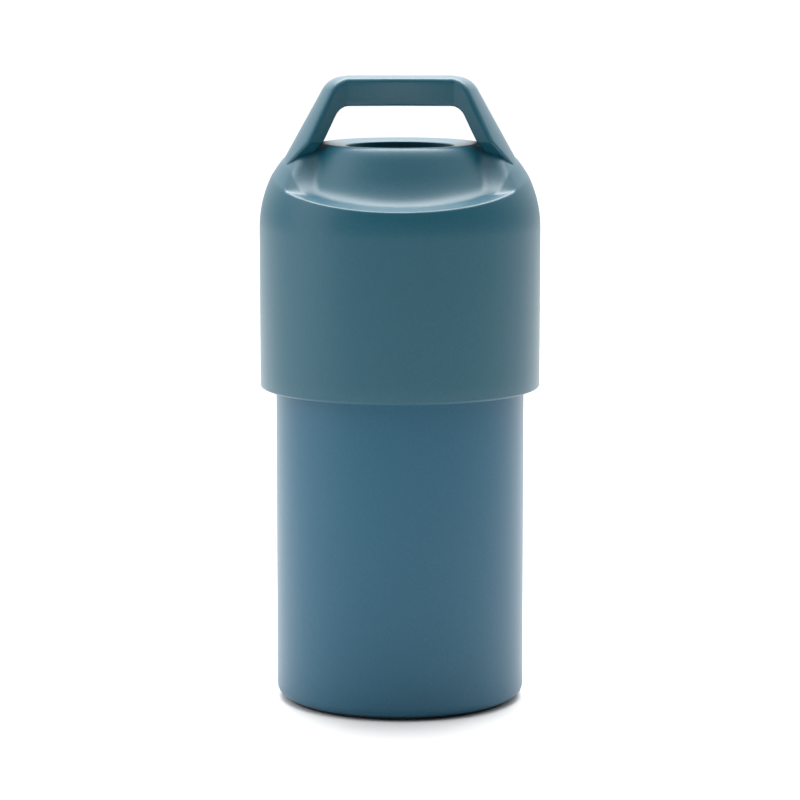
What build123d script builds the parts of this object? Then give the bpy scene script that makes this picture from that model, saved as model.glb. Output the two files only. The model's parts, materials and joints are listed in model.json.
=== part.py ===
from build123d import *
import math
import os

# Insulated bottle cooler: a double-walled steel vessel, a screw-on cover with a bowed carry
# handle, and the seal between them. Millimetres, +Z up, origin at the centre of the base.
# The handle's bar runs along X.

os.makedirs("parts", exist_ok=True)

# ---- Driving dimensions: vessel
VESSEL_R = 45.0
SHELL_WALL = 0.8
BASE_EDGE_R = 4.0
BASE_Z = 1.0
NECK_R = 42.4
SHOULDER_Z = 125.0
NECK_Z = 129.0
RIM_Z = 150.0
CUP_R = 40.6
CUP_WALL = 0.6
CUP_FLOOR_Z = 9.0
CUP_CORNER_R = 6.0
WELD_R = 36.0
DIMPLE_R = 14.0
DIMPLE_DEPTH = 1.6
FOOT_OUTER_R = 41.0
FOOT_INNER_R = 34.0
PAD_THICKNESS = 2.0
PAD_R = 33.0

# ---- Driving dimensions: screw thread between the vessel and the cover
THREAD_LEAD = 6.0
THREAD_TURNS = 1.25
THREAD_ROOT_R = 43.5
THREAD_CREST_R = 44.7
THREAD_ROOT_WIDTH = 2.4
THREAD_CREST_WIDTH = 1.0
THREAD_BITE = 0.3
MALE_START_Z = 137.5
FEMALE_CREST_R = 43.9
FEMALE_ROOT_R = 45.1

# ---- Driving dimensions: cover
COVER_R = 50.7
COVER_WALL = 2.5
SKIRT_Z = 114.5
SKIRT_EDGE_R = 1.0
SHOULDER_ARC_Z = 172.0
SHOULDER_ARC_R = 42.4
SHOULDER_TOP_R = 46.3
LEG_FOOT_R = 41.65
LEG_FOOT_Z = 197.0
MOUTH_R = 19.45
BROW_R = 14.0
CEILING_DROP = 3.2
CEILING_R = 30.0
THROAT_R = 25.5
THROAT_Z = 193.5
TUBE_END_Z = 188.0

# ---- Driving dimensions: dished top of the cover
ROOF_RIDGE_Z = 193.2
ROOF_SLOPE = 0.225
ROOF_ROUNDING = 1.9
LIP_R = 24.0
LIP_Z = 204.6
LIP_INNER_SLOPE = 0.3
COLLAR_SLOPE = 1.54
LIP_ROUNDING = 2.4
COLLAR_BLEND = 5.0
RIB_R = 26.0
RIB_Z = 201.6
RIB_SLOPE = 0.287
RIB_HALF_WIDTH = 12.0
RIB_FLANK = 1.3
RIB_BLEND = 2.5
FIELD_HALF = 56.0
FIELD_STEPS = 80

# ---- Driving dimensions: handle
HANDLE_TOP_Z = 226.3
HANDLE_SPREAD_DEG = 30.0
LEG_SLOPE = 0.555
LEG_THICKNESS = 5.8
LEG_BASE_Z = 190.0
LEG_WAIST_Z = 204.0
LEG_BASE_SPREAD_DEG = 11.1
BAR_THICKNESS = 9.9
BAR_HALF = 11.0
BAR_DRAFT = 1.6
HANDLE_CORNER_R = 8.5
WINDOW_CORNER_R = 6.3
BAR_BITE = 1.0

# ---- Driving dimensions: cover lining, jacket and seals
LINER_WALL = 1.6
LINER_R = 46.7
LINER_FOOT_Z = 116.5
LINER_FOOT_HEIGHT = 2.0
SEAT_Z = 151.8
SEAT_R = 38.5
LINER_LAP = 5.0
GASKET_OUTER_R = 43.3
GASKET_INNER_R = 39.0
GRIP_R = 16.5
GRIP_Z = 183.5
GRIP_HEIGHT = 3.0
FIT = 0.1


def export_piece(piece, node):
    """Label one finished piece and write its STEP file."""
    piece.part.label = node
    export_step(piece.part, f"parts/{node}.step")


def soft_max(a, b, blend):
    """Greater of two heights, with a rounded valley between them."""
    return 0.5 * (a + b + math.sqrt((a - b) ** 2 + blend**2))


def soft_min(a, b, blend):
    """Lesser of two heights, with a rounded ridge between them."""
    return 0.5 * (a + b - math.sqrt((a - b) ** 2 + blend**2))


def top_height(x, y):
    """Height of the cover's dished top, collar and handle ribs at one place."""
    roof = ROOF_RIDGE_Z - math.hypot(ROOF_SLOPE * y, ROOF_ROUNDING)
    radius = math.hypot(x, y)
    lip = LIP_Z - LIP_INNER_SLOPE * (LIP_R - radius)
    flank = LIP_Z - COLLAR_SLOPE * (radius - LIP_R)
    collar = soft_min(lip, flank, LIP_ROUNDING)
    crest = RIB_Z - RIB_SLOPE * (math.hypot(x, ROOF_ROUNDING) - RIB_R)
    side = crest - RIB_FLANK * (abs(y) - RIB_HALF_WIDTH)
    rib = soft_min(crest, side, RIB_BLEND)
    return soft_max(soft_max(roof, collar, COLLAR_BLEND), rib, RIB_BLEND)


# ---- Outer shell: drawn steel wall, rolled under at the base and necked in at the top
with BuildPart() as outer_shell:
    with BuildSketch(Plane.XZ):
        with BuildLine():
            Line((WELD_R, BASE_Z), (VESSEL_R - BASE_EDGE_R, BASE_Z))
            RadiusArc(
                (VESSEL_R - BASE_EDGE_R, BASE_Z), (VESSEL_R, BASE_Z + BASE_EDGE_R), -BASE_EDGE_R
            )
            Polyline(
                (VESSEL_R, BASE_Z + BASE_EDGE_R),
                (VESSEL_R, SHOULDER_Z),
                (NECK_R, NECK_Z),
                (NECK_R, RIM_Z),
                (NECK_R - SHELL_WALL, RIM_Z),
                (NECK_R - SHELL_WALL, NECK_Z),
                (VESSEL_R - SHELL_WALL, SHOULDER_Z),
                (VESSEL_R - SHELL_WALL, BASE_Z + BASE_EDGE_R),
            )
            RadiusArc(
                (VESSEL_R - SHELL_WALL, BASE_Z + BASE_EDGE_R),
                (VESSEL_R - BASE_EDGE_R, BASE_Z + SHELL_WALL),
                BASE_EDGE_R - SHELL_WALL,
            )
            Polyline(
                (VESSEL_R - BASE_EDGE_R, BASE_Z + SHELL_WALL),
                (WELD_R, BASE_Z + SHELL_WALL),
                (WELD_R, BASE_Z),
            )
        make_face()
    revolve()
export_piece(outer_shell, "outer_shell")

# ---- Outer base: disc welded into the shell, with the dimple of the vacuum seal
DIMPLE_FLOOR_Z = BASE_Z + DIMPLE_DEPTH
SEAL_HOLE_R = 1.5
with BuildPart() as outer_base:
    with BuildSketch(Plane.XZ):
        Polygon(
            (SEAL_HOLE_R, DIMPLE_FLOOR_Z),
            (DIMPLE_R, DIMPLE_FLOOR_Z),
            (DIMPLE_R + DIMPLE_DEPTH, BASE_Z),
            (WELD_R, BASE_Z),
            (WELD_R, BASE_Z + SHELL_WALL),
            (DIMPLE_R + DIMPLE_DEPTH + SHELL_WALL / 2, BASE_Z + SHELL_WALL),
            (DIMPLE_R + SHELL_WALL / 2, DIMPLE_FLOOR_Z + SHELL_WALL),
            (SEAL_HOLE_R, DIMPLE_FLOOR_Z + SHELL_WALL),
            align=None,
        )
    revolve()
export_piece(outer_base, "outer_base")

# ---- Vacuum seal: bead that closes the pump-out hole
SEAL_BEAD_R = 4.0
SEAL_BEAD_HEIGHT = 0.7
with BuildPart() as vacuum_seal:
    with BuildSketch(Plane.XY.offset(DIMPLE_FLOOR_Z - SEAL_BEAD_HEIGHT)):
        Circle(SEAL_BEAD_R)
    extrude(amount=SEAL_BEAD_HEIGHT)
    fillet(vacuum_seal.edges().group_by(Axis.Z)[0], SEAL_BEAD_HEIGHT / 2)
    with BuildSketch(Plane.XY.offset(DIMPLE_FLOOR_Z)):
        Circle(SEAL_HOLE_R)
    extrude(amount=SHELL_WALL)
export_piece(vacuum_seal, "vacuum_seal")

# ---- Getter: pellet that keeps the vacuum, held on the outer base
GETTER_R = 4.0
GETTER_HEIGHT = 2.0
GETTER_PLACE_R = 25.0
with BuildPart() as getter_pellet:
    with BuildSketch(Plane.XY.offset(BASE_Z + SHELL_WALL)):
        with Locations((GETTER_PLACE_R, 0)):
            Circle(GETTER_R)
    extrude(amount=GETTER_HEIGHT)
    chamfer(getter_pellet.edges().group_by(Axis.Z)[-1], GETTER_HEIGHT / 5)
export_piece(getter_pellet, "getter_pellet")

# ---- Base disc: glued cover over the dimple
BASE_DISC_THICKNESS = 0.6
with BuildPart() as base_disc:
    with BuildSketch(Plane.XY.offset(BASE_Z - BASE_DISC_THICKNESS)):
        Circle(DIMPLE_R + 2 * DIMPLE_DEPTH)
    extrude(amount=BASE_DISC_THICKNESS)
export_piece(base_disc, "base_disc")

# ---- Foot ring: soft ring that the cooler stands on
with BuildPart() as foot_ring:
    with BuildSketch(Plane.XY):
        Circle(FOOT_OUTER_R)
        Circle(FOOT_INNER_R, mode=Mode.SUBTRACT)
    extrude(amount=BASE_Z)
    fillet(foot_ring.edges().group_by(Axis.Z)[0], BASE_Z / 3)
export_piece(foot_ring, "foot_ring")

# ---- Inner cup: drawn steel cup with the rolled rim that closes the double wall
CUP_INNER_R = CUP_R - CUP_WALL
with BuildPart() as inner_cup:
    with BuildSketch(Plane.XZ):
        with BuildLine():
            Line((0, CUP_FLOOR_Z), (CUP_R - CUP_CORNER_R, CUP_FLOOR_Z))
            RadiusArc(
                (CUP_R - CUP_CORNER_R, CUP_FLOOR_Z), (CUP_R, CUP_FLOOR_Z + CUP_CORNER_R), -CUP_CORNER_R
            )
            Polyline(
                (CUP_R, CUP_FLOOR_Z + CUP_CORNER_R),
                (CUP_R, RIM_Z),
                (NECK_R, RIM_Z),
                (NECK_R, RIM_Z + CUP_WALL),
                (CUP_INNER_R, RIM_Z + CUP_WALL),
                (CUP_INNER_R, CUP_FLOOR_Z + CUP_CORNER_R),
            )
            RadiusArc(
                (CUP_INNER_R, CUP_FLOOR_Z + CUP_CORNER_R),
                (CUP_R - CUP_CORNER_R, CUP_FLOOR_Z + CUP_WALL),
                CUP_CORNER_R - CUP_WALL,
            )
            Polyline(
                (CUP_R - CUP_CORNER_R, CUP_FLOOR_Z + CUP_WALL),
                (0, CUP_FLOOR_Z + CUP_WALL),
                (0, CUP_FLOOR_Z),
            )
        make_face()
    revolve()
export_piece(inner_cup, "inner_cup")

# ---- Cup pad: soft cushion under the bottle
PAD_Z = CUP_FLOOR_Z + CUP_WALL
with BuildPart() as cup_pad:
    with BuildSketch(Plane.XY.offset(PAD_Z)):
        Circle(PAD_R)
    extrude(amount=PAD_THICKNESS)
    fillet(cup_pad.edges().group_by(Axis.Z)[-1], PAD_THICKNESS / 4)
export_piece(cup_pad, "cup_pad")

# ---- Threads: the same helical ridge, outward on the vessel and inward in the cover
THREAD_HEIGHT = THREAD_LEAD * THREAD_TURNS
FEMALE_START_Z = MALE_START_Z - THREAD_LEAD / 2


def thread_ridge(root_r, crest_r):
    """Section of a thread ridge, for a sketch on the plane through its start and the axis."""
    Polygon(
        (root_r, -THREAD_ROOT_WIDTH / 2),
        (crest_r, -THREAD_CREST_WIDTH / 2),
        (crest_r, THREAD_CREST_WIDTH / 2),
        (root_r, THREAD_ROOT_WIDTH / 2),
        align=None,
    )


# ---- Thread ring: moulded male thread pressed on the vessel's neck
with BuildPart() as thread_ring:
    with BuildSketch(Plane.XZ):
        Polygon(
            (NECK_R, NECK_Z + THREAD_BITE),
            (THREAD_ROOT_R, NECK_Z + THREAD_BITE),
            (THREAD_ROOT_R, RIM_Z - 1.0),
            (NECK_R, RIM_Z - 1.0),
            align=None,
        )
    revolve()
    with BuildLine() as male_path:
        Helix(THREAD_LEAD, THREAD_HEIGHT, THREAD_ROOT_R, center=(0, 0, MALE_START_Z))
    with BuildSketch(Plane.XZ.offset(0)) as male_section:
        with Locations((0, MALE_START_Z)):
            thread_ridge(THREAD_ROOT_R - THREAD_BITE, THREAD_CREST_R)
    sweep(path=male_path.wire(), is_frenet=True)
export_piece(thread_ring, "thread_ring")

# ---- Cover shell: moulded skirt, shoulder, dished top, collar and handle in one piece
COVER_INNER_R = COVER_R - COVER_WALL
ARC_CENTRE_R = COVER_R - SHOULDER_ARC_R
INNER_ARC_R = SHOULDER_ARC_R - COVER_WALL
TUBE_R = MOUTH_R + COVER_WALL
BAR_Z = HANDLE_TOP_Z - BAR_THICKNESS
BAR_REACH = BAR_HALF / math.tan(math.radians(HANDLE_SPREAD_DEG))
LEG_THICKNESS_R = LEG_THICKNESS * math.hypot(1, LEG_SLOPE)


def leg_outer_r(z):
    """Radius of the handle's outer cone at one height."""
    return LEG_FOOT_R - LEG_SLOPE * (z - LEG_FOOT_Z)


def leg_inner_r(z):
    """Radius of the handle's inner cone at one height."""
    return leg_outer_r(z) - LEG_THICKNESS_R


def ceiling_z(radius):
    """Height of the cover's inner ceiling, which stays under the lowest part of the dish."""
    return ROOF_RIDGE_Z - ROOF_SLOPE * radius - CEILING_DROP


# The cutter is everything above the height field, so that the top is one smooth face.
FIELD_STEP = 2 * FIELD_HALF / FIELD_STEPS
field_places = [FIELD_STEP * i - FIELD_HALF for i in range(FIELD_STEPS + 1)]
field_points = [[(x, y, top_height(x, y)) for y in field_places] for x in field_places]
top_face = Face.make_surface_from_array_of_points(field_points, tol=0.02, min_deg=3, max_deg=5)
above_top = Solid.extrude(top_face, (0, 0, 2 * FIELD_HALF))

# The handle: each leg is a slice of a cone, undercut towards its foot, and the bar is straight.
slice_angle = math.radians(HANDLE_SPREAD_DEG)
slice_plane = Plane(
    origin=(0, 0, 0),
    x_dir=(math.cos(slice_angle), -math.sin(slice_angle), 0),
    z_dir=(-math.sin(slice_angle), -math.cos(slice_angle), 0),
)
with BuildPart() as leg_wedge:
    for level, spread_deg in (
        (LEG_BASE_Z, LEG_BASE_SPREAD_DEG),
        (LEG_WAIST_Z, HANDLE_SPREAD_DEG),
    ):
        across = math.sin(math.radians(spread_deg))
        along = math.cos(math.radians(spread_deg))
        with BuildSketch(Plane.XY.offset(level)):
            Polygon(
                (BAR_BITE * along, -BAR_BITE * across),
                (COVER_R * along, -COVER_R * across),
                (COVER_R * along, COVER_R * across),
                (BAR_BITE * along, BAR_BITE * across),
                align=None,
            )
    loft(ruled=True)
    extrude(leg_wedge.faces().sort_by(Axis.Z)[-1], amount=HANDLE_TOP_Z - LEG_WAIST_Z)

with BuildPart() as handle:
    with BuildSketch(slice_plane) as leg_section:
        Polygon(
            (BAR_REACH - BAR_BITE, BAR_Z),
            (leg_inner_r(BAR_Z), BAR_Z),
            (leg_inner_r(LEG_BASE_Z), LEG_BASE_Z),
            (leg_outer_r(LEG_BASE_Z), LEG_BASE_Z),
            (leg_outer_r(HANDLE_TOP_Z), HANDLE_TOP_Z),
            (BAR_REACH - BAR_BITE, HANDLE_TOP_Z),
            align=None,
        )
        fillet(leg_section.vertices().group_by(Axis.Y)[-1].sort_by(Axis.X)[-1], HANDLE_CORNER_R)
        window = leg_section.vertices().filter_by_position(Axis.Y, BAR_Z - FIT, BAR_Z + FIT)
        fillet(window.sort_by(Axis.X)[-1], WINDOW_CORNER_R)
    revolve(revolution_arc=2 * HANDLE_SPREAD_DEG)
    add(leg_wedge.part, mode=Mode.INTERSECT)
    mirror(about=Plane.YZ)
    with BuildSketch(Plane.YZ):
        Polygon(
            (-BAR_HALF, HANDLE_TOP_Z),
            (BAR_DRAFT - BAR_HALF, BAR_Z),
            (BAR_HALF - BAR_DRAFT, BAR_Z),
            (BAR_HALF, HANDLE_TOP_Z),
            align=None,
        )
    extrude(amount=BAR_REACH, both=True)

arc_angle = math.acos((SHOULDER_TOP_R - ARC_CENTRE_R) / SHOULDER_ARC_R)
SHOULDER_TOP_Z = SHOULDER_ARC_Z + SHOULDER_ARC_R * math.sin(arc_angle)
EAVES_Z = ceiling_z(COVER_INNER_R)
EAVES_R = ARC_CENTRE_R + math.sqrt(INNER_ARC_R**2 - (EAVES_Z - SHOULDER_ARC_Z) ** 2)
with BuildPart() as cover_shell:
    with BuildSketch(Plane.XZ):
        with BuildLine():
            Polyline(
                (0, SKIRT_Z),
                (COVER_R - SKIRT_EDGE_R, SKIRT_Z),
                (COVER_R, SKIRT_Z + SKIRT_EDGE_R),
                (COVER_R, SHOULDER_ARC_Z),
            )
            RadiusArc(
                (COVER_R, SHOULDER_ARC_Z), (SHOULDER_TOP_R, SHOULDER_TOP_Z), -SHOULDER_ARC_R
            )
            RadiusArc(
                (SHOULDER_TOP_R, SHOULDER_TOP_Z), (LEG_FOOT_R, LEG_FOOT_Z), -BROW_R
            )
            Polyline(
                (LEG_FOOT_R, LEG_FOOT_Z),
                (leg_outer_r(LIP_Z), LIP_Z),
                (0, LIP_Z),
                (0, SKIRT_Z),
            )
        make_face()
    revolve()
    add(above_top, mode=Mode.SUBTRACT)
    with BuildSketch(Plane.XZ):
        with BuildLine():
            Polyline(
                (0, SKIRT_Z - COVER_WALL),
                (COVER_INNER_R, SKIRT_Z - COVER_WALL),
                (COVER_INNER_R, SHOULDER_ARC_Z),
            )
            RadiusArc((COVER_INNER_R, SHOULDER_ARC_Z), (EAVES_R, EAVES_Z), -INNER_ARC_R)
            Polyline(
                (EAVES_R, EAVES_Z),
                (CEILING_R, ceiling_z(CEILING_R)),
                (THROAT_R, THROAT_Z),
                (TUBE_R, THROAT_Z + COVER_WALL),
                (TUBE_R, TUBE_END_Z),
                (0, TUBE_END_Z),
                (0, SKIRT_Z - COVER_WALL),
            )
        make_face()
    revolve(mode=Mode.SUBTRACT)
    with BuildSketch(Plane.XY.offset(TUBE_END_Z)):
        Circle(MOUTH_R)
    extrude(amount=LIP_Z - TUBE_END_Z, mode=Mode.SUBTRACT)
    add(handle.part)
export_piece(cover_shell, "cover_shell")

# ---- Cover liner: inner moulding with the female thread, the seal's seat and the throat
CONE_TOP_Z = TUBE_END_Z - FIT
CONE_TOP_R = MOUTH_R + FIT
LINER_INNER_R = LINER_R - LINER_WALL
SKIRT_CLEAR_R = VESSEL_R + 0.5
THREAD_BAND_Z = SHOULDER_Z + 4.5


def cone_r(z):
    """Radius of the liner's inner cone at one height."""
    return SEAT_R + (CONE_TOP_R - SEAT_R) * (z - SEAT_Z) / (CONE_TOP_Z - SEAT_Z)


with BuildPart() as cover_liner:
    with BuildSketch(Plane.XZ):
        Polygon(
            (SKIRT_CLEAR_R, LINER_FOOT_Z),
            (COVER_INNER_R - FIT, LINER_FOOT_Z),
            (COVER_INNER_R - FIT, LINER_FOOT_Z + LINER_FOOT_HEIGHT),
            (LINER_R, LINER_FOOT_Z + LINER_FOOT_HEIGHT),
            (LINER_R, SEAT_Z + LINER_WALL),
            (cone_r(SEAT_Z) + LINER_WALL, SEAT_Z + LINER_WALL),
            (TUBE_R + LINER_WALL, CONE_TOP_Z - LINER_WALL),
            (TUBE_R + LINER_WALL, CONE_TOP_Z + LINER_LAP),
            (TUBE_R + FIT, CONE_TOP_Z + LINER_LAP),
            (TUBE_R + FIT, CONE_TOP_Z),
            (CONE_TOP_R, CONE_TOP_Z),
            (SEAT_R, SEAT_Z),
            (LINER_INNER_R, SEAT_Z),
            (LINER_INNER_R, THREAD_BAND_Z),
            (SKIRT_CLEAR_R, THREAD_BAND_Z),
            align=None,
        )
    revolve()
    with BuildLine() as female_path:
        Helix(THREAD_LEAD, THREAD_HEIGHT, FEMALE_ROOT_R, center=(0, 0, FEMALE_START_Z))
    with BuildSketch(Plane.XZ):
        with Locations((0, FEMALE_START_Z)):
            thread_ridge(FEMALE_ROOT_R + THREAD_BITE, FEMALE_CREST_R)
    sweep(path=female_path.wire(), is_frenet=True)
export_piece(cover_liner, "cover_liner")

# ---- Foam jacket: insulation that fills the space between the shell and the liner
JACKET_FOOT_Z = LINER_FOOT_Z + LINER_FOOT_HEIGHT + FIT
JACKET_INNER_R = LINER_R + FIT
JACKET_OUTER_R = COVER_INNER_R - FIT
JACKET_THROAT_R = TUBE_R + LINER_WALL + FIT
with BuildPart() as foam_jacket:
    with BuildSketch(Plane.XZ):
        with BuildLine():
            Polyline(
                (JACKET_INNER_R, JACKET_FOOT_Z),
                (JACKET_OUTER_R, JACKET_FOOT_Z),
                (JACKET_OUTER_R, SHOULDER_ARC_Z),
            )
            RadiusArc(
                (JACKET_OUTER_R, SHOULDER_ARC_Z), (EAVES_R - FIT, EAVES_Z - FIT), -INNER_ARC_R
            )
            Polyline(
                (EAVES_R - FIT, EAVES_Z - FIT),
                (CEILING_R, ceiling_z(CEILING_R) - FIT),
                (THROAT_R, THROAT_Z - FIT),
                (JACKET_THROAT_R, THROAT_Z - FIT),
                (JACKET_THROAT_R, CONE_TOP_Z - LINER_WALL),
                (cone_r(SEAT_Z) + LINER_WALL + FIT, SEAT_Z + LINER_WALL + FIT),
                (JACKET_INNER_R, SEAT_Z + LINER_WALL + FIT),
                (JACKET_INNER_R, JACKET_FOOT_Z),
            )
        make_face()
    revolve()
export_piece(foam_jacket, "foam_jacket")

# ---- Mouth gasket: flat seal between the vessel's rim and the liner's seat
with BuildPart() as mouth_gasket:
    with BuildSketch(Plane.XY.offset(RIM_Z + CUP_WALL)):
        Circle(GASKET_OUTER_R)
        Circle(GASKET_INNER_R, mode=Mode.SUBTRACT)
    extrude(amount=SEAT_Z - RIM_Z - CUP_WALL)
export_piece(mouth_gasket, "mouth_gasket")

# ---- Neck ring: soft ring bonded in the throat, which steadies the bottle's neck
with BuildPart() as neck_ring:
    with BuildSketch(Plane.XZ):
        Polygon(
            (GRIP_R, GRIP_Z),
            (cone_r(GRIP_Z), GRIP_Z),
            (cone_r(GRIP_Z + GRIP_HEIGHT), GRIP_Z + GRIP_HEIGHT),
            (GRIP_R, GRIP_Z + GRIP_HEIGHT),
            align=None,
        )
    revolve()
    grip_edges = neck_ring.edges().filter_by(GeomType.CIRCLE)
    fillet(grip_edges.group_by(SortBy.RADIUS)[0], GRIP_HEIGHT / 3)
export_piece(neck_ring, "neck_ring")
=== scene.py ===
"""Insulated bottle cooler: double-wall steel vessel, screw-on cover and carry handle."""

import json
import logging
import math
from dataclasses import dataclass, field
from enum import Enum

import bmesh
import bpy
import numpy as np
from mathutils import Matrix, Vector


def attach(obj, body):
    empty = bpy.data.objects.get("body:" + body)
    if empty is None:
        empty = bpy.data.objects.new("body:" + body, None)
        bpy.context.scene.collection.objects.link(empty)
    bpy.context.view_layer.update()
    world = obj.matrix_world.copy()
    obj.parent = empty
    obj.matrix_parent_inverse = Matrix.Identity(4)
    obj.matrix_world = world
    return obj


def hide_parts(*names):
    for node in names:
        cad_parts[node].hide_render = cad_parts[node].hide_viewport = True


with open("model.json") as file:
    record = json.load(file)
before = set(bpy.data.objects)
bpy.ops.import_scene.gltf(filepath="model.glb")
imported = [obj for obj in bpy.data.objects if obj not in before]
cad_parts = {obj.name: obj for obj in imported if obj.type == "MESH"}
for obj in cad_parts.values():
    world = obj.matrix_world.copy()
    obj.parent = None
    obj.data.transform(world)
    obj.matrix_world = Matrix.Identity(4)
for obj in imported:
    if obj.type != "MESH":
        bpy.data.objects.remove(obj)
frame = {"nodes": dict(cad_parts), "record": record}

LOG = logging.getLogger("bottle_cooler")
MM = 0.001
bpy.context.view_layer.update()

# Spans around the lathed pieces, around the cover and along a rounded corner.
RADIAL_STEPS = 256
COVER_STEPS = 480
ROUNDING_STEPS = 6

# Points nearer than this merge, in metres, and edges sharper than this stay crisp, in degrees.
MERGE_DISTANCE = 0.000002
SHARP_ANGLE = 32.0

# Range that most of a noise texture's values lie in, and the octaves of the two noises.
NOISE_LOW = 0.3
NOISE_HIGH = 0.7
FINE_DETAIL = 3.0
CLOUD_DETAIL = 2.0


class Body(str, Enum):
    """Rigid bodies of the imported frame."""

    VESSEL = "vessel"
    SEAL = "seal"
    COVER = "cover"


class Slot(str, Enum):
    """Material slots of the record."""

    VESSEL_COAT = "vessel_coat"
    COVER_PLASTIC = "cover_plastic"
    BARE_STEEL = "bare_steel"
    SEAL_METAL = "seal_metal"
    GETTER = "getter"
    DARK_RUBBER = "dark_rubber"
    CLEAR_SILICONE = "clear_silicone"
    DARK_PLASTIC = "dark_plastic"
    FOAM = "foam"


# --------------------------------------------------------------------------- finishes


@dataclass(frozen=True)
class Grain:
    """Fine surface grain of a finish.

    Attributes:
        scale: Noise scale, in cells per metre.
        height: Depth of the relief, in metres.
        tint: Share by which the grain lightens and darkens the colour.
    """

    scale: float
    height: float
    tint: float


@dataclass(frozen=True)
class Finish:
    """A surface finish, dressed with procedural colour, roughness and relief.

    Attributes:
        name: Name of the material.
        colour: Linear base colour.
        roughness: Mean roughness.
        spread: Half-range by which the roughness varies.
        metallic: Metallic share.
        specular: Specular level.
        grain: Fine grain of the surface.
        cloud_scale: Scale of the broad colour variation, in cells per metre.
        cloud_tint: Strength of the broad colour variation.
    """

    name: str
    colour: tuple[float, float, float]
    roughness: float
    spread: float = 0.05
    metallic: float = 0.0
    specular: float = 0.5
    grain: Grain = Grain(1800.0, 0.00002, 0.1)
    cloud_scale: float = 25.0
    cloud_tint: float = 0.05

    def build(self) -> bpy.types.Material:
        """Build the material's node tree.

        Returns:
            The new material.
        """
        material = bpy.data.materials.new(self.name)
        material.use_nodes = True
        tree = material.node_tree
        shader = tree.nodes["Principled BSDF"]
        shader.inputs["Metallic"].default_value = self.metallic
        shader.inputs["Specular IOR Level"].default_value = self.specular
        place = tree.nodes.new("ShaderNodeTexCoord").outputs["Object"]
        fine = self._noise(tree, place, self.grain.scale, FINE_DETAIL)
        cloud = self._noise(tree, place, self.cloud_scale, CLOUD_DETAIL)
        speckled = self._shade(tree, fine, self.colour, self.grain.tint)
        mottled = self._multiply(tree, speckled, cloud, self.cloud_tint)
        tree.links.new(mottled, shader.inputs["Base Color"])
        tree.links.new(
            self._ranged(tree, fine, self.roughness, self.spread), shader.inputs["Roughness"]
        )
        bump = tree.nodes.new("ShaderNodeBump")
        bump.inputs["Strength"].default_value = 1.0
        bump.inputs["Distance"].default_value = self.grain.height
        tree.links.new(fine, bump.inputs["Height"])
        tree.links.new(bump.outputs["Normal"], shader.inputs["Normal"])
        return material

    @staticmethod
    def _noise(
        tree: bpy.types.NodeTree, place: bpy.types.NodeSocket, scale: float, detail: float
    ) -> bpy.types.NodeSocket:
        """Add a noise texture.

        Args:
            tree: The material's node tree.
            place: Socket of the coordinates.
            scale: Scale of the noise, in cells per metre.
            detail: Number of octaves.

        Returns:
            Socket of the noise's value.
        """
        noise = tree.nodes.new("ShaderNodeTexNoise")
        noise.inputs["Scale"].default_value = scale
        noise.inputs["Detail"].default_value = detail
        tree.links.new(place, noise.inputs["Vector"])
        return noise.outputs["Fac"]

    @staticmethod
    def _shade(
        tree: bpy.types.NodeTree,
        value: bpy.types.NodeSocket,
        colour: tuple[float, float, float],
        tint: float,
    ) -> bpy.types.NodeSocket:
        """Ramp a value from a darker to a lighter shade of one colour.

        Args:
            tree: The material's node tree.
            value: Socket of the value.
            colour: Linear base colour.
            tint: Share by which the colour darkens and lightens.

        Returns:
            Socket of the colour.
        """
        ramp = tree.nodes.new("ShaderNodeValToRGB")
        ramp.color_ramp.elements[0].position = NOISE_LOW
        ramp.color_ramp.elements[1].position = NOISE_HIGH
        ramp.color_ramp.elements[0].color = (*(c * (1.0 - tint) for c in colour), 1.0)
        ramp.color_ramp.elements[1].color = (*(c * (1.0 + tint) for c in colour), 1.0)
        tree.links.new(value, ramp.inputs["Fac"])
        return ramp.outputs["Color"]

    @staticmethod
    def _multiply(
        tree: bpy.types.NodeTree,
        colour: bpy.types.NodeSocket,
        value: bpy.types.NodeSocket,
        share: float,
    ) -> bpy.types.NodeSocket:
        """Darken a colour by a share of a value.

        Args:
            tree: The material's node tree.
            colour: Socket of the colour.
            value: Socket of the value that darkens it.
            share: Strength of the darkening, from 0 to 1.

        Returns:
            Socket of the darker colour.
        """
        mix = tree.nodes.new("ShaderNodeMix")
        mix.data_type = "RGBA"
        mix.blend_type = "MULTIPLY"
        mix.inputs["Factor"].default_value = share
        tree.links.new(colour, mix.inputs["A"])
        tree.links.new(value, mix.inputs["B"])
        return mix.outputs["Result"]

    @staticmethod
    def _ranged(
        tree: bpy.types.NodeTree, value: bpy.types.NodeSocket, middle: float, spread: float
    ) -> bpy.types.NodeSocket:
        """Map a noise value to a range about a middle.

        Args:
            tree: The material's node tree.
            value: Socket of the noise's value.
            middle: Middle of the range.
            spread: Half of the range.

        Returns:
            Socket of the mapped value.
        """
        ranged = tree.nodes.new("ShaderNodeMapRange")
        ranged.inputs["From Min"].default_value = NOISE_LOW
        ranged.inputs["From Max"].default_value = NOISE_HIGH
        ranged.inputs["To Min"].default_value = middle - spread
        ranged.inputs["To Max"].default_value = middle + spread
        tree.links.new(value, ranged.inputs["Value"])
        return ranged.outputs["Result"]


TEAL_GRAIN = Grain(2600.0, 0.00003, 0.16)

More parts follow.
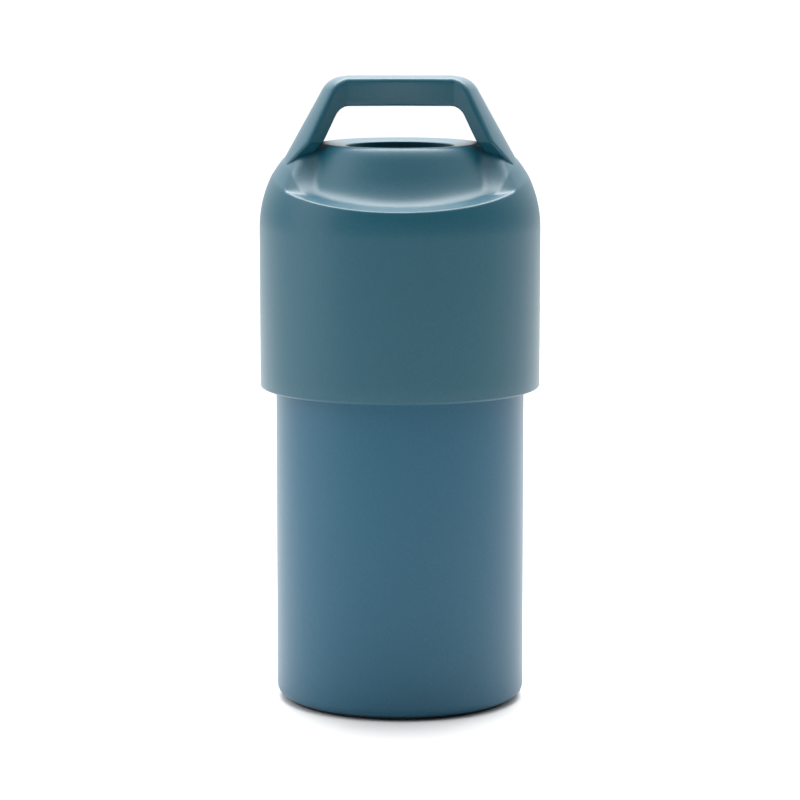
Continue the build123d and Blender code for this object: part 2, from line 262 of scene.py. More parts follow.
FINISHES: dict[Slot, Finish] = {
    Slot.VESSEL_COAT: Finish(
        "teal_powder_coat", (0.009, 0.088, 0.15), 0.4, specular=0.38, grain=TEAL_GRAIN
    ),
    Slot.COVER_PLASTIC: Finish(
        "teal_moulded_plastic", (0.009, 0.08, 0.118), 0.38, specular=0.42, grain=TEAL_GRAIN
    ),
    Slot.BARE_STEEL: Finish(
        "brushed_steel", (0.55, 0.55, 0.54), 0.32, metallic=1.0, grain=Grain(900.0, 0.00001, 0.05)
    ),
    Slot.SEAL_METAL: Finish("seal_bead", (0.3, 0.3, 0.31), 0.4, metallic=1.0),
    Slot.GETTER: Finish("getter_metal", (0.2, 0.2, 0.21), 0.6, metallic=1.0),
    Slot.DARK_RUBBER: Finish("dark_rubber", (0.03, 0.035, 0.04), 0.7, specular=0.3),
    Slot.CLEAR_SILICONE: Finish("milky_silicone", (0.55, 0.58, 0.58), 0.5),
    Slot.DARK_PLASTIC: Finish("liner_plastic", (0.022, 0.045, 0.055), 0.45),
    Slot.FOAM: Finish("foam_beads", (0.8, 0.8, 0.78), 0.9, grain=Grain(350.0, 0.0002, 0.05)),
}


# --------------------------------------------------------------------------- mesh tools


@dataclass
class Profile:
    """An outline in the half-plane of radius and height, built corner by corner.

    Attributes:
        points: Points so far, in millimetres.
    """

    points: list[tuple[float, float]] = field(default_factory=list)

    def to(self, *corners: tuple[float, ...]) -> "Profile":
        """Go through corners, each (r, z) or (r, z, fillet).

        Args:
            corners: Corners in order. A third number rounds the corner by that radius.

        Returns:
            This profile.
        """
        count = len(corners)
        for i, corner in enumerate(corners):
            if len(corner) < 3 or i == 0 or i == count - 1:
                self.points.append((corner[0], corner[1]))
                continue
            self.points += round_corner(corners[i - 1], corner, corners[i + 1], corner[2])
        return self

    def arc(
        self, centre: tuple[float, float], radius: float, start: float, end: float, steps: int
    ) -> "Profile":
        """Add an arc.

        Args:
            centre: Centre of the arc.
            radius: Radius in millimetres.
            start: First angle in degrees, from the direction of +r.
            end: Last angle in degrees.
            steps: Number of spans.

        Returns:
            This profile.
        """
        for i in range(steps + 1):
            angle = math.radians(start + (end - start) * i / steps)
            self.points.append(
                (centre[0] + radius * math.cos(angle), centre[1] + radius * math.sin(angle))
            )
        return self


def round_corner(
    before: tuple[float, ...],
    corner: tuple[float, ...],
    after: tuple[float, ...],
    radius: float,
) -> list[tuple[float, float]]:
    """Points of the arc that rounds one corner of an outline.

    Args:
        before: Corner before.
        corner: Corner to round.
        after: Corner after.
        radius: Radius of the rounding.

    Returns:
        The points, first to last.
    """
    here = np.array(corner[:2])
    back = np.array(before[:2]) - here
    ahead = np.array(after[:2]) - here
    back /= np.linalg.norm(back)
    ahead /= np.linalg.norm(ahead)
    half = math.acos(max(-1.0, min(1.0, float(back @ ahead)))) / 2.0
    reach = radius / math.tan(half)
    centre = here + (back + ahead) / np.linalg.norm(back + ahead) * radius / math.sin(half)
    first = here + back * reach - centre
    last = here + ahead * reach - centre
    sweep = math.pi - 2.0 * half
    turn = math.copysign(1.0, first[0] * last[1] - first[1] * last[0])
    start = math.atan2(first[1], first[0])
    angles = [start + turn * sweep * i / ROUNDING_STEPS for i in range(ROUNDING_STEPS + 1)]
    return [(centre[0] + radius * math.cos(a), centre[1] + radius * math.sin(a)) for a in angles]


def grid_object(
    name: str, grid: np.ndarray, close_rows: bool, close_columns: bool
) -> bpy.types.Object:
    """Make a mesh object from a grid of points.

    Args:
        name: Name of the object.
        grid: Points in millimetres, shaped rows x columns x 3.
        close_rows: Whether the last row joins the first.
        close_columns: Whether the last column joins the first.

    Returns:
        The new object, linked to the scene.
    """
    rows, columns = grid.shape[:2]
    row = np.arange(rows if close_rows else rows - 1)
    column = np.arange(columns if close_columns else columns - 1)
    a, b = np.meshgrid(row, column, indexing="ij")
    next_a, next_b = (a + 1) % rows, (b + 1) % columns
    faces = np.stack(
        [a * columns + b, a * columns + next_b, next_a * columns + next_b, next_a * columns + b], -1
    ).reshape(-1, 4)
    mesh = bpy.data.meshes.new(name)
    mesh.from_pydata((grid.reshape(-1, 3) * MM).tolist(), [], faces.tolist())
    return finish_mesh(name, mesh)


def finish_mesh(name: str, mesh: bpy.types.Mesh) -> bpy.types.Object:
    """Merge, orient and smooth a mesh, and link it as an object.

    Args:
        name: Name of the object.
        mesh: The mesh.

    Returns:
        The new object.
    """
    work = bmesh.new()
    work.from_mesh(mesh)
    bmesh.ops.remove_doubles(work, verts=work.verts, dist=MERGE_DISTANCE)
    bmesh.ops.dissolve_degenerate(work, edges=work.edges, dist=MERGE_DISTANCE)
    bmesh.ops.recalc_face_normals(work, faces=work.faces)
    work.to_mesh(mesh)
    work.free()
    mesh.shade_smooth()
    mesh.set_sharp_from_angle(angle=math.radians(SHARP_ANGLE))
    piece = bpy.data.objects.new(name, mesh)
    bpy.context.scene.collection.objects.link(piece)
    return piece


def lathe(name: str, profile: Profile) -> bpy.types.Object:
    """Turn a closed outline about the axis.

    Args:
        name: Name of the object.
        profile: The outline, closed from its last point to its first.

    Returns:
        The turned object.
    """
    outline = np.array(profile.points)
    angle = np.linspace(0.0, 2.0 * math.pi, RADIAL_STEPS, endpoint=False)
    grid = np.empty((len(outline), RADIAL_STEPS, 3))
    grid[..., 0] = outline[:, :1] * np.cos(angle)
    grid[..., 1] = outline[:, :1] * np.sin(angle)
    grid[..., 2] = outline[:, 1:]
    return grid_object(name, grid, True, True)


def soft_max(a: np.ndarray, b: np.ndarray, blend: float) -> np.ndarray:
    """Greater of two heights, with a valley rounded where they differ by less than the blend."""
    return np.maximum(a, b) + np.maximum(blend - np.abs(a - b), 0.0) ** 2 / (4.0 * blend)


def soft_min(a: np.ndarray, b: np.ndarray, blend: float) -> np.ndarray:
    """Lesser of two heights, with a ridge rounded where they differ by less than the blend."""
    return np.minimum(a, b) - np.maximum(blend - np.abs(a - b), 0.0) ** 2 / (4.0 * blend)


def dress(piece: bpy.types.Object, finish: bpy.types.Material) -> None:
    """Give every material slot of a piece one finish.

    Args:
        piece: The piece.
        finish: The finish's material.
    """
    if not piece.data.materials:
        piece.data.materials.append(finish)
    for slot in piece.material_slots:
        slot.material = finish


# --------------------------------------------------------------------------- cover


@dataclass
class CoverTop:
    """The dished top of the cover, with its collar and the ribs under the handle.

    Lengths are in millimetres, and a slope is a fall over a run.

    Attributes:
        cover_r: Radius of the skirt.
        shoulder_z: Height at which the shoulder's arc starts.
        shoulder_r: Radius of the shoulder's arc.
        ridge_z: Height of the roof's ridge, under the handle's bar, before its rounding.
        roof_slope: Fall of the roof to the front and back.
        roof_rounding: Rounding of the roof's ridge.
        lip_r: Radius of the collar's lip.
        lip_z: Height of the collar's lip.
        lip_slope: Fall of the lip's face towards the mouth.
        collar_slope: Fall of the collar's outer side.
        lip_blend: Height difference over which the lip is rounded.
        valley_blend: Height difference over which the collar's foot is rounded.
        toe_blend: The same at the shoulder, where the roof ends.
        toe_share: Growth of that blend with the distance from the shoulder.
        rib_r: Radius at which the ribs' crest has its stated height.
        rib_z: Height of the ribs' crest.
        rib_slope: Fall of the crest outwards.
        rib_spread: Half-angle of a rib, in radians.
        rib_flank: Fall of a rib's sides.
        rib_blend: Height difference over which a rib's edges are rounded.
        brow_slope: Fall of a rib's outer end in the middle.
        brow_easing: Loss of that slope for each millimetre aside.
        brow_blend: Height difference over which the brow's edge is rounded.
    """

    cover_r: float = 50.7
    shoulder_z: float = 172.0
    shoulder_r: float = 42.4
    ridge_z: float = 193.2
    roof_slope: float = 0.225
    roof_rounding: float = 1.9
    lip_r: float = 30.0
    lip_z: float = 203.0
    lip_slope: float = 0.11
    collar_slope: float = 1.9
    lip_blend: float = 5.0
    valley_blend: float = 8.0
    toe_blend: float = 0.6
    toe_share: float = 2.0
    rib_r: float = 29.0
    rib_z: float = 203.7
    rib_slope: float = 0.44
    rib_spread: float = math.radians(24.0)
    rib_flank: float = 1.25
    rib_blend: float = 3.0
    brow_slope: float = 1.5
    brow_easing: float = 0.015
    brow_blend: float = 3.5

    def height(self, x: np.ndarray, y: np.ndarray) -> np.ndarray:
        """Height of the top at given places.

        Args:
            x: Places along the handle's bar, in millimetres.
            y: Places across it, in millimetres.

        Returns:
            Heights in millimetres.
        """
        roof = self.ridge_z - np.hypot(self.roof_slope * y, self.roof_rounding)
        radius = np.hypot(x, y)
        reach = self._shoulder(roof) - radius
        cone = self.lip_z - self.collar_slope * (radius - self.lip_r)
        brow = roof + (self.brow_slope - self.brow_easing * np.abs(y)) * reach
        rib = self._rib(x, y, radius, brow)
        lip = self.lip_z - self.lip_slope * (self.lip_r - radius)
        hill = soft_min(soft_max(cone, rib, self.rib_blend), lip, self.lip_blend)
        blend = np.clip(self.toe_share * reach, self.toe_blend, self.valley_blend)
        return soft_max(roof, hill, blend)

    def _shoulder(self, z: np.ndarray) -> np.ndarray:
        """Radius of the shoulder's arc at a height."""
        rise = np.clip(z - self.shoulder_z, 0.0, self.shoulder_r)
        return self.cover_r - self.shoulder_r + np.sqrt(self.shoulder_r**2 - rise**2)

    def _rib(
        self, x: np.ndarray, y: np.ndarray, radius: np.ndarray, brow: np.ndarray
    ) -> np.ndarray:
        """Height of the ribs that carry the legs: wedges with sloping sides and brows.

        Args:
            x: Places along the handle's bar.
            y: Places across it.
            radius: Distances from the axis.
            brow: Heights of the brow.

        Returns:
            Heights in millimetres.
        """
        crest = self.rib_z - self.rib_slope * (radius - self.rib_r)
        aside = np.abs(y) * math.cos(self.rib_spread) - np.abs(x) * math.sin(self.rib_spread)
        side = crest - self.rib_flank * aside
        return soft_min(soft_min(crest, brow, self.brow_blend), side, self.rib_blend)


@dataclass
class CoverShell:
    """The moulded cover: skirt, shoulder, top and mouth, without its handle.

    Lengths are in millimetres.

    Attributes:
        top: The height field of the top.
        wall: Thickness of the wall.
        skirt_z: Height of the skirt's lower edge.
        skirt_edge: Rounding of that edge.
        mouth_r: Radius of the mouth.
        mouth_edge: Rounding of the mouth's edge.
        tube_row_z: Height of the row part-way down the mouth's tube.
        tube_end_z: Height of the tube's lower end.
        ceiling_drop: Drop of the inner ceiling below the ridge.
        ceiling_r: Radius at which the ceiling meets the throat.
        throat_r: Radius of the throat's foot.
        throat_z: Height of the throat's foot.
        crease_reach: Distance from the crease over which it is rounded.
        crease_limit: Highest place of the crease on the shoulder's arc, in radians.
        crease_halvings: Halvings of that range to find the crease.
        skirt_rows: Rows up the skirt.
        shoulder_rows: Rows up the shoulder.
        crease_rows: Rows across the crease.
        top_rows: Rows from the crease to the mouth.
        ceiling_steps: Spans of the ceiling's arc.
    """

    top: CoverTop = field(default_factory=CoverTop)
    wall: float = 2.5
    skirt_z: float = 114.5
    skirt_edge: float = 1.0
    mouth_r: float = 19.45
    mouth_edge: float = 0.6
    tube_row_z: float = 196.0
    tube_end_z: float = 188.0
    ceiling_drop: float = 3.2
    ceiling_r: float = 30.0
    throat_r: float = 25.5
    throat_z: float = 193.5
    crease_reach: float = 0.7
    crease_limit: float = math.radians(75.0)
    crease_halvings: int = 40
    skirt_rows: int = 12
    shoulder_rows: int = 26
    crease_rows: int = 9
    top_rows: int = 72
    ceiling_steps: int = 6

    def build(self) -> bpy.types.Object:
        """Build the shell as a grid of one closed outline at each azimuth.

        Returns:
            The shell's object.
        """
        azimuth = np.linspace(0.0, 2.0 * math.pi, COVER_STEPS, endpoint=False)
        outside = self._outside(azimuth)
        inside = self._inside()
        grid = np.empty((outside.shape[0] + len(inside), COVER_STEPS, 3))
        radius = np.vstack([outside[..., 0], np.repeat(inside[:, :1], COVER_STEPS, 1)])
        grid[..., 0] = radius * np.cos(azimuth)
        grid[..., 1] = radius * np.sin(azimuth)
        grid[..., 2] = np.vstack([outside[..., 1], np.repeat(inside[:, 1:], COVER_STEPS, 1)])
        return grid_object("cover_moulding", grid, True, True)

    def _shoulder(self, angle: np.ndarray) -> tuple[np.ndarray, np.ndarray]:
        """Point of the shoulder's arc.

        Args:
            angle: Angles above the horizontal, in radians.

        Returns:
            Radii and heights in millimetres.
        """
        arc = self.top.shoulder_r
        radius = self.top.cover_r - arc + arc * np.cos(angle)
        return radius, self.top.shoulder_z + arc * np.sin(angle)

    def _top(self, radius: np.ndarray, azimuth: np.ndarray) -> np.ndarray:
        """Height of the top at a radius and azimuth."""
        return self.top.height(radius * np.cos(azimuth), radius * np.sin(azimuth))

    def _crease(self, azimuth: np.ndarray) -> np.ndarray:
        """Find where the shoulder's arc meets the top, by halving the range.

        Args:
            azimuth: Azimuths in radians.

        Returns:
            Angles on the arc, above the horizontal, in radians.
        """
        low = np.zeros_like(azimuth)
        high = np.full_like(azimuth, self.crease_limit)
        for _ in range(self.crease_halvings):
            middle = (low + high) / 2.0
            radius, height = self._shoulder(middle)
            under = height < self._top(radius, azimuth)
            low = np.where(under, middle, low)
            high = np.where(under, high, middle)
        return low

    def _outside(self, azimuth: np.ndarray) -> np.ndarray:
        """Outer outline at each azimuth, from the skirt's edge to the end of the mouth's tube.

        Args:
            azimuth: Azimuths in radians.

        Returns:
            Radii and heights, shaped rows x azimuths x 2.
        """
        edge = Profile().to(
            (self.top.cover_r - self.wall, self.skirt_z),
            (self.top.cover_r, self.skirt_z, self.skirt_edge),
            (self.top.cover_r, self.top.shoulder_z),
        )
        rows = [np.tile(np.array(p), (len(azimuth), 1)) for p in edge.points[1:-1]]
        skirt = np.linspace(
            self.skirt_z + self.skirt_edge, self.top.shoulder_z, self.skirt_rows
        )
        for z in skirt[1:]:
            rows.append(np.tile(np.array([self.top.cover_r, z]), (len(azimuth), 1)))
        meet = self._crease(azimuth)
        meet_r, _ = self._shoulder(meet)
        before = meet - self.crease_reach / self.top.shoulder_r
        for t in np.linspace(0.0, 1.0, self.shoulder_rows)[1:]:
            rows.append(np.stack(self._shoulder(before * t), -1))
        corner = np.stack(self._shoulder(meet), -1)
        after_r = meet_r - self.crease_reach
        after = np.stack([after_r, self._top(after_r, azimuth)], -1)
        start = rows[-1]
        for t in np.linspace(0.0, 1.0, self.crease_rows)[1:]:
            rows.append((1 - t) ** 2 * start + 2 * t * (1 - t) * corner + t * t * after)
        rim_r = self.mouth_r + self.mouth_edge
        for t in np.linspace(0.0, 1.0, self.top_rows)[1:]:
            radius = after_r + (rim_r - after_r) * t
            rows.append(np.stack([radius, self._top(radius, azimuth)], -1))
        rim_z = rows[-1][:, 1]
        for angle in np.radians([22.5, 45.0, 67.5, 90.0]):
            drop = self.mouth_edge * (1.0 - math.cos(angle))
            radius = rim_r - self.mouth_edge * math.sin(angle)
            rows.append(np.stack([np.full_like(rim_z, radius), rim_z - drop], -1))
        for z in (self.tube_row_z, self.tube_end_z):
            rows.append(np.tile(np.array([self.mouth_r, z]), (len(azimuth), 1)))
        return np.array(rows)

    def _ceiling(self, radius: float) -> float:
        """Height of the inner ceiling at a radius."""
        return self.top.ridge_z - self.top.roof_slope * radius - self.ceiling_drop

    def _inside(self) -> np.ndarray:
        """Inner outline, from the tube's end to the skirt's inner edge.

        Returns:
            Radii and heights, shaped rows x 2.
        """
        inner = self.top.cover_r - self.wall
        arc = self.top.shoulder_r - self.wall
        centre = self.top.cover_r - self.top.shoulder_r
        eaves_z = self._ceiling(inner)
        end = math.degrees(math.asin((eaves_z - self.top.shoulder_z) / arc))
        outline = Profile().to(
            (self.mouth_r + self.wall, self.tube_end_z),
            (self.mouth_r + self.wall, self.throat_z + self.wall),
            (self.throat_r, self.throat_z),
            (self.ceiling_r, self._ceiling(self.ceiling_r)),
        )
        outline.arc((centre, self.top.shoulder_z), arc, end, 0.0, self.ceiling_steps)
        outline.to((inner, self.skirt_z))
        return np.array(outline.points)


@dataclass
class Handle:
    """The carry handle: two legs sliced from a cone and a straight bar between them.

    Lengths are in millimetres and angles in radians.

    Attributes:
        top_z: Height of the bar's top.
        bar_z: Height of the bar's underside.
        bar_half: Half-width of the bar.
        bar_draft: Narrowing of the bar's underside in the middle.
        spread: Half-angle that a leg takes up around the axis.
        foot_r: Radius of the legs' outer face at its stated height.
        foot_z: That height.
        slope: Lean of the legs, as a run over a rise.
        thickness: Thickness of the legs.
        corner: Radius of the outer corners.
        window_corner: Radius of the window's corners.
        base_z: Height of the legs' buried ends.
        root_z: Height above which the sections are close.
        waist_z: Height below which a leg narrows.
        undercut: Narrowing for each millimetre below the waist.
        level_z: Height at which the corners' sections start.
        outer_edge: Rounding of the outer edges.
        inner_edge: Rounding of the inner edges.
        buried_rows: Sections below the root.
        root_rows: Sections from the root to the waist.
        leg_rows: Sections from the waist to the corner.
        corner_spans: Spans between the corner's sections.
        corner_steps: Spans of a corner's arc before it is respaced.
        bar_rows: Sections along half of the bar.
        face_points: Points across each broad face.
        edge_points: Points around each rounded edge and up each side.
    """

    top_z: float = 226.3
    bar_z: float = 216.4
    bar_half: float = 11.0
    bar_draft: float = 1.6
    spread: float = math.radians(30.0)
    foot_r: float = 41.65
    foot_z: float = 197.0
    slope: float = 0.555
    thickness: float = 5.8
    corner: float = 8.5
    window_corner: float = 6.3
    base_z: float = 190.0
    root_z: float = 196.0
    waist_z: float = 204.0
    undercut: float = math.radians(1.35)
    level_z: float = 209.0
    outer_edge: float = 1.7
    inner_edge: float = 0.8
    buried_rows: int = 5
    root_rows: int = 25
    leg_rows: int = 9
    corner_spans: int = 44
    corner_steps: int = 24
    bar_rows: int = 25
    face_points: int = 15
    edge_points: int = 7

    def build(self) -> bpy.types.Object:
        """Build the handle as one loft from foot to foot.

        Returns:
            The handle's object.
        """
        leg = [self._leg_section(outer, inner) for outer, inner in self._leg_stations()]
        bar = [self._bar_section(t) for t in np.linspace(1.0, 0.0, self.bar_rows)[1:]]
        half = np.array(leg + bar)
        other = half[:-1][::-1] * np.array([-1.0, 1.0, 1.0])
        return grid_object("carry_handle", np.vstack([half, other]), False, True)

    def _outer_r(self, z: float) -> float:
        """Radius of the outer cone at a height."""
        return self.foot_r - self.slope * (z - self.foot_z)

    def _inner_r(self, z: float) -> float:
        """Radius of the inner cone at a height."""
        return self._outer_r(z) - self.thickness * math.hypot(1.0, self.slope)

    def _end_r(self) -> float:
        """Distance from the axis at which the legs meet the bar."""
        return self.bar_half / math.sin(self.spread)

    def _outer_corner_r(self) -> float:
        """Radius at which the outer corner's arc starts."""
        return self._outer_r(self.top_z - self.corner) - self.corner * math.hypot(1.0, self.slope)

    def _inner_corner_r(self) -> float:
        """Radius at which the window corner's arc starts."""
        lean = math.hypot(1.0, self.slope)
        return self._inner_r(self.bar_z - self.window_corner) - self.window_corner * lean

    def _leg_stations(self) -> list[tuple[np.ndarray, np.ndarray]]:
        """Outer and inner points of the leg's sections, from the foot up to the bar.

        Returns:
            Pairs of points, each a radius and a height.
        """
        low = np.linspace(self.base_z, self.root_z, self.buried_rows)[:-1]
        root = np.linspace(self.root_z, self.waist_z, self.root_rows)
        high = np.linspace(self.waist_z, self.level_z, self.leg_rows)[1:-1]
        stations = [
            (np.array([self._outer_r(z), z]), np.array([self._inner_r(z), z]))
            for z in (*low, *root, *high)
        ]
        lean = math.degrees(math.atan(self.slope))
        outer = Profile().to((self._outer_r(self.level_z), self.level_z))
        inner = Profile().to((self._inner_r(self.level_z), self.level_z))
        for profile, start_r, top, radius in (
            (outer, self._outer_corner_r(), self.top_z, self.corner),
            (inner, self._inner_corner_r(), self.bar_z, self.window_corner),
        ):
            end = math.degrees(math.acos((self._end_r() - start_r) / radius))
            profile.arc((start_r, top - radius), radius, lean, end, self.corner_steps)
        outers = respaced(outer.points, self.corner_spans)
        inners = respaced(inner.points, self.corner_spans)
        return stations + list(zip(outers, inners))

    def _section_loop(self, half: float, depth: float) -> list[tuple[float, float]]:
        """Places around a section with close spacing at its rounded edges.

        Args:
            half: Half-width of the section in millimetres.
            depth: Half-thickness in millimetres.

        Returns:
            Places as (across, through), each from -1 to 1.
        """
        sides = np.linspace(-1.0, 1.0, self.face_points)
        turn = np.linspace(0.0, math.pi / 2, self.edge_points)[1:-1]
        top, under = self.outer_edge, self.inner_edge
        rise = np.linspace(under - depth, depth - top, self.edge_points)
        flat, flat_under = half - top, half - under
        loop = [(a * flat, depth) for a in sides]
        loop += [(flat + top * math.sin(t), depth - top + top * math.cos(t)) for t in turn]
        loop += [(half, b) for b in rise[::-1]]
        loop += [
            (flat_under + under * math.cos(t), under - depth - under * math.sin(t)) for t in turn
        ]
        loop += [(a * flat_under, -depth) for a in sides[::-1]]
        loop += [
            (-flat_under - under * math.sin(t), under - depth - under * math.cos(t)) for t in turn
        ]
        loop += [(-half, b) for b in rise]
        loop += [(-flat - top * math.cos(t), depth - top + top * math.sin(t)) for t in turn]
        return [(a / half, b / depth) for a, b in loop]

    def _leg_section(self, outer: np.ndarray, inner: np.ndarray) -> np.ndarray:
        """Section of the leg through an outer and an inner point.

        Args:
            outer: Radius and height of the outer face.
            inner: Radius and height of the inner face.

        Returns:
            Points of the section's loop.
        """
        middle_r = (outer[0] + inner[0]) / 2.0
        half = middle_r * self.spread
        depth = float(np.linalg.norm(outer - inner)) / 2.0
        points = []
        for across, through in self._section_loop(half, depth):
            radius, z = inner + (outer - inner) * (through + 1.0) / 2.0
            angle = across * (self.spread - self.undercut * max(self.waist_z - z, 0.0))
            points.append((radius * math.cos(angle), radius * math.sin(angle), z))
        return np.array(points)

    def _bar_section(self, share: float) -> np.ndarray:
        """Section of the bar, bowed towards the leg's arc near its end.

        Args:
            share: Place along the half-bar, 0 in the middle and 1 at the leg.

        Returns:
            Points of the section's loop.
        """
        end_r = self._end_r()
        depth = (self.top_z - self.bar_z) / 2.0
        points = []
        for across, through in self._section_loop(end_r * self.spread, depth):
            level = (through + 1.0) / 2.0
            narrow = 1.0 - self.bar_draft / self.bar_half * (1.0 - level) * (1.0 - share)
            x = share * end_r * math.cos(across * self.spread)
            y = narrow * end_r * math.sin(across * self.spread)
            radius = math.hypot(x, y)
            low = self.bar_z - self._drop(radius, self._inner_corner_r(), self.window_corner)
            high = self.top_z - self._drop(radius, self._outer_corner_r(), self.corner)
            points.append((x, y, low + (high - low) * level))
        return np.array(points)

    @staticmethod
    def _drop(radius: float, start_r: float, corner: float) -> float:
        """Drop of a corner's arc below its start at a distance from the axis."""
        return corner - math.sqrt(corner**2 - max(radius - start_r, 0.0) ** 2)


def respaced(points: list[tuple[float, float]], spans: int) -> list[np.ndarray]:
    """Respace an outline evenly along its length.

    Args:
        points: The outline.
        spans: Number of spans.

    Returns:
        The new points.
    """
    outline = np.array(points)
    along = np.concatenate([[0.0], np.cumsum(np.linalg.norm(np.diff(outline, axis=0), axis=1))])
    places = np.linspace(0.0, along[-1], spans + 1)
    return list(np.stack([np.interp(places, along, outline[:, k]) for k in (0, 1)], -1))


@dataclass
class Cover:
    """The moulded cover, with its handle. The pieces inside it come from the frame."""

    shell: CoverShell = field(default_factory=CoverShell)
    handle: Handle = field(default_factory=Handle)

    def build(self, finishes: dict[Slot, bpy.types.Material]) -> None:
        """Build the shell and handle, and hang them on the cover's body.

        Args:
            finishes: Materials by slot.
        """
        for piece in (self.shell.build(), self.handle.build()):
            dress(piece, finishes[Slot.COVER_PLASTIC])
            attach(piece, Body.COVER.value)
            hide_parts("cover_shell")
            LOG.info("built %s", piece.name)


# --------------------------------------------------------------------------- vessel


@dataclass
class Vessel:
    """The double-wall vessel's outer shell.

    Lengths are in millimetres.

    Attributes:
        radius: Outer radius.
        wall: Thickness of the sheet.
        edge: Rounding of the lower edge.
        base_z: Height of the turned-in base.
        weld_r: Radius at which the base plate is welded in.
        neck_r: Radius of the neck inside the cover.
        shoulder_z: Height at which the step to the neck starts.
        neck_z: Height at which it ends.
        rim_z: Height of the rim.
        step_rounding: Rounding of the step.
    """

    radius: float = 45.0
    wall: float = 0.8
    edge: float = 4.0
    base_z: float = 1.0
    weld_r: float = 36.0
    neck_r: float = 42.4
    shoulder_z: float = 125.0
    neck_z: float = 129.0
    rim_z: float = 150.0
    step_rounding: float = 3.0

    def build(self, finishes: dict[Slot, bpy.types.Material]) -> None:
        """Build the outer shell and hang it on the vessel's body.

        Args:
            finishes: Materials by slot.
        """
        profile = Profile().to(
            (self.weld_r, self.base_z),
            (self.radius, self.base_z, self.edge),
            (self.radius, self.shoulder_z, self.step_rounding),
            (self.neck_r, self.neck_z, self.step_rounding),
            (self.neck_r, self.rim_z),
            (self.neck_r - self.wall, self.rim_z),
            (self.neck_r - self.wall, self.neck_z),
            (self.radius - self.wall, self.shoulder_z),
            (self.radius - self.wall, self.base_z + self.wall, self.edge - self.wall),
            (self.weld_r, self.base_z + self.wall),
        )
        shell = lathe("vessel_wall", profile)
        dress(shell, finishes[Slot.VESSEL_COAT])
        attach(shell, Body.VESSEL.value)
        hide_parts("outer_shell")
        LOG.info("built %s", shell.name)


# --------------------------------------------------------------------------- studio


@dataclass
class Lamp:
    """A rectangular softbox.

    Attributes:
        name: Name of the lamp.
        place: Centre in metres.
        aim: Point that it faces, in metres.
        size: Width and height in metres.
        power: Power in watts.
    """

    name: str
    place: tuple[float, float, float]
    aim: tuple[float, float, float]
    size: tuple[float, float]
    power: float

    def build(self) -> None:
        """Add the lamp to the scene."""
        data = bpy.data.lights.new(self.name, "AREA")
        data.shape = "RECTANGLE"
        data.size, data.size_y = self.size
        data.energy = self.power
        lamp = bpy.data.objects.new(self.name, data)
        lamp.location = self.place
        facing = Vector(self.aim) - Vector(self.place)
        lamp.rotation_euler = facing.to_track_quat("-Z", "Y").to_euler()
        bpy.context.scene.collection.objects.link(lamp)


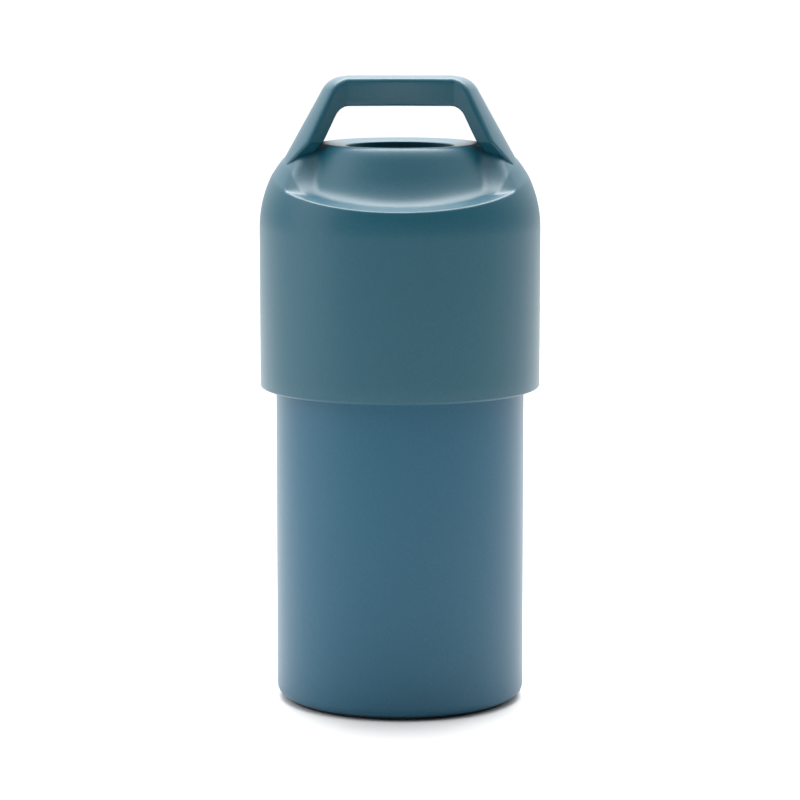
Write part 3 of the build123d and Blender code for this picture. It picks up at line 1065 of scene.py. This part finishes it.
@dataclass
class Studio:
    """Floor, sky, lamps and camera.

    Lengths are in metres, but the lens and sensor are in millimetres.

    Attributes:
        camera_distance: Distance of the camera in front of the axis.
        camera_height: Height of the camera.
        aim_z: Height that the camera is aimed at.
        lens: Focal length.
        sensor: Width of the sensor.
        floor_depths: Places of the floor's edges and folds from front to back.
        floor_sides: The same from left to right.
        backdrop: Strength of the sky as the camera sees it.
        bright_sky: Strength of the sky's bright end.
        dim_sky: Strength of its dim end.
        sky_axis: Direction of the sky's bright end.
        dim_edge: Cosine from that direction below which the sky is dim.
        bright_edge: Cosine above which it is fully bright.
        lamps: The softboxes.
    """

    camera_distance: float = 1.2148
    camera_height: float = 0.2862
    aim_z: float = 0.1092
    lens: float = 152.0
    sensor: float = 36.0
    floor_depths: tuple[float, ...] = (-4.0, -1.0, 0.0, 1.0, 4.0, 14.0)
    floor_sides: tuple[float, ...] = (-9.0, -2.0, 2.0, 9.0)
    backdrop: float = 1.1
    bright_sky: float = 2.0
    dim_sky: float = 0.1
    sky_axis: tuple[float, float, float] = (0.0, 0.5, 0.87)
    dim_edge: float = 0.1
    bright_edge: float = 0.85
    lamps: tuple[Lamp, ...] = (
        Lamp("left_softbox", (-1.4, -0.3, 0.7), (0.0, 0.0, 0.12), (1.1, 1.3), 8.0),
        Lamp("top_softbox", (0.0, 0.7, 1.6), (0.0, 0.0, 0.15), (1.6, 1.3), 60.0),
    )

    def build(self) -> None:
        """Build the studio."""
        self._floor()
        self._world()
        for lamp in self.lamps:
            lamp.build()
        self._camera()

    def _floor(self) -> None:
        """Add the wide pale floor."""
        grid = np.zeros((len(self.floor_depths), len(self.floor_sides), 3))
        grid[..., 0] = np.array(self.floor_sides)
        grid[..., 1] = np.array(self.floor_depths)[:, None]
        floor = grid_object("floor_sweep", grid / MM, False, False)
        paper = Finish(
            "pale_paper",
            (0.76, 0.76, 0.76),
            0.9,
            specular=0.1,
            grain=Grain(300.0, 0.0, 0.0),
            cloud_tint=0.0,
        )
        dress(floor, paper.build())

    def _world(self) -> None:
        """Light the scene with a white sky that is bright behind the object and dim in front."""
        world = bpy.data.worlds.new("studio")
        bpy.context.scene.world = world
        world.use_nodes = True
        nodes, links = world.node_tree.nodes, world.node_tree.links
        background = nodes["Background"]
        background.inputs["Color"].default_value = (1.0, 1.0, 1.0, 1.0)
        facing = nodes.new("ShaderNodeVectorMath")
        facing.operation = "DOT_PRODUCT"
        facing.inputs[1].default_value = self.sky_axis
        links.new(nodes.new("ShaderNodeTexCoord").outputs["Generated"], facing.inputs[0])
        sky = nodes.new("ShaderNodeMapRange")
        sky.inputs["From Min"].default_value = self.dim_edge
        sky.inputs["From Max"].default_value = self.bright_edge
        sky.inputs["To Min"].default_value = self.dim_sky
        sky.inputs["To Max"].default_value = self.bright_sky
        links.new(facing.outputs["Value"], sky.inputs["Value"])
        seen = nodes.new("ShaderNodeMix")
        links.new(nodes.new("ShaderNodeLightPath").outputs["Is Camera Ray"], seen.inputs["Factor"])
        links.new(sky.outputs["Result"], seen.inputs["A"])
        seen.inputs["B"].default_value = self.backdrop
        links.new(seen.outputs["Result"], background.inputs["Strength"])

    def _camera(self) -> None:
        """Add the camera, and make it the scene's."""
        data = bpy.data.cameras.new("camera")
        data.lens = self.lens
        data.sensor_width = self.sensor
        camera = bpy.data.objects.new("camera", data)
        camera.location = (0.0, -self.camera_distance, self.camera_height)
        aim = Vector((0.0, 0.0, self.aim_z)) - camera.location
        camera.rotation_euler = aim.to_track_quat("-Z", "Y").to_euler()
        bpy.context.scene.collection.objects.link(camera)
        bpy.context.scene.camera = camera


def dress_frame(finishes: dict[Slot, bpy.types.Material]) -> None:
    """Dress every piece that is carried over from the frame.

    Args:
        finishes: Materials by slot.
    """
    for subpart in frame["record"]["subparts"]:
        node = subpart["node"]
        dress(frame["nodes"][node], finishes[Slot(subpart["material_slot"])])
        LOG.info("dressed %s", node)


def main() -> None:
    """Build the cooler and its studio."""
    logging.basicConfig(level=logging.INFO, format="%(message)s")
    bpy.context.scene.view_settings.view_transform = "Standard"
    finishes = {slot: finish.build() for slot, finish in FINISHES.items()}
    dress_frame(finishes)
    Vessel().build(finishes)
    Cover().build(finishes)
    Studio().build()


if __name__ == "__main__":
    main()
